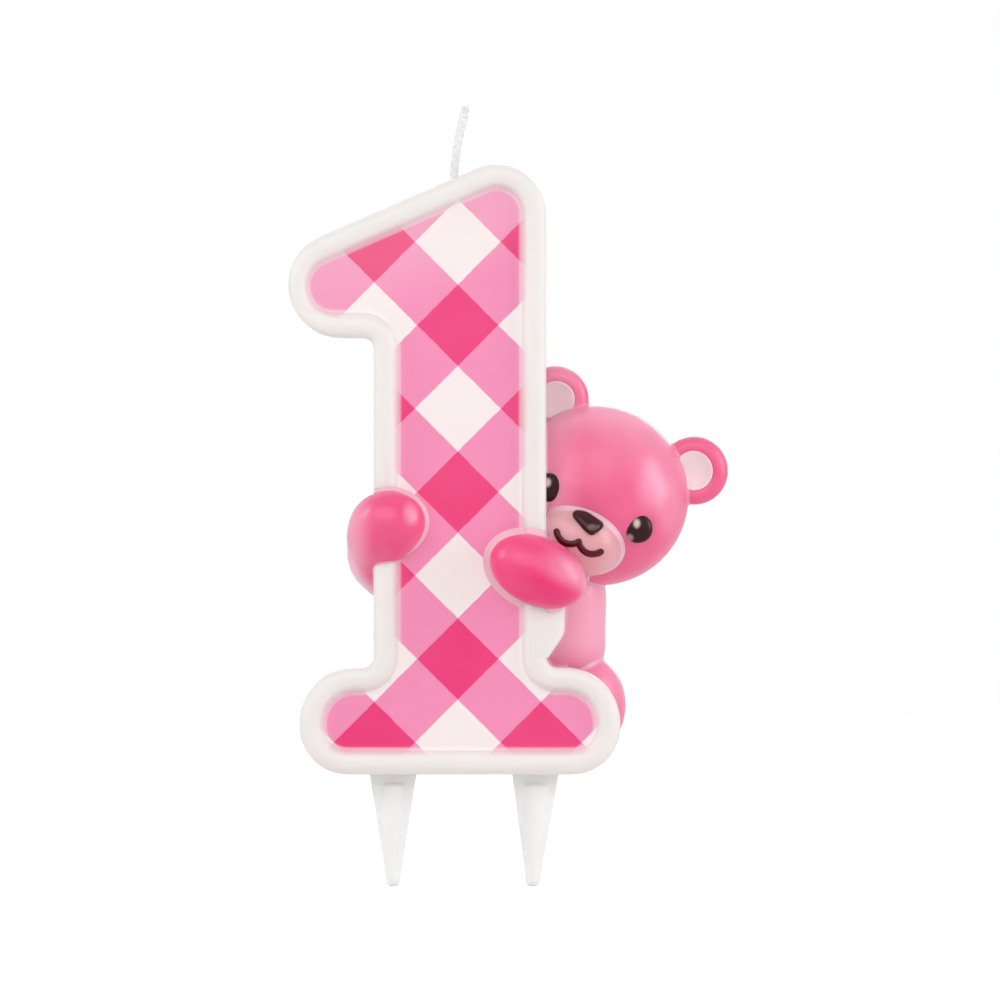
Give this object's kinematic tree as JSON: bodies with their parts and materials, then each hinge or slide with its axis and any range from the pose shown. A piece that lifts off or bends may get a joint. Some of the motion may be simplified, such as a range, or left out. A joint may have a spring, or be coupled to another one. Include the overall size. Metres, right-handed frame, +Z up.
{
  "type": "number birthday candle",
  "caption": "Wax cake candle shaped as the numeral one, with a printed check film in its rimmed recess, a small teddy bear hugging the stem, a wick and cake picks.",
  "frame": {"origin": "middle of the flat underside of the numeral's base, which rests on the cake, halfway through its depth", "axes": "+Z up along the stem, +X to the right and -Y towards the viewer, who faces the print; the picks point down along -Z"},
  "size_m": [0.0578, 0.0279, 0.1021],
  "materials": {
    "white_wax": "smooth satin white wax",
    "print_film": "printed pink and white check, slightly glossy",
    "wick": "braided white cotton, waxed",
    "pick_plastic": "moulded white plastic",
    "pink_wax": "dipped pink wax, soft gloss",
    "pale_wax": "pale pink wax, soft gloss",
    "dark_paint": "dark brown paint, glossy"
  },
  "bodies": {
    "root": {"numeral_body": "white_wax", "print_film": "print_film", "wick": "wick", "pick_left": "pick_plastic", "pick_right": "pick_plastic", "bear_head": "pink_wax", "bear_muzzle": "pale_wax", "bear_nose": "dark_paint", "bear_mouth": "dark_paint", "bear_eye_left": "dark_paint", "bear_eye_right": "dark_paint", "bear_ear_left": "pink_wax", "bear_ear_right": "pink_wax", "bear_inner_ear_left": "pale_wax", "bear_inner_ear_right": "pale_wax", "bear_torso": "pink_wax", "bear_arm_left": "pink_wax", "bear_arm_right": "pink_wax", "bear_leg_left": "pink_wax", "bear_leg_right": "pink_wax"}
  },
  "joints": []
}
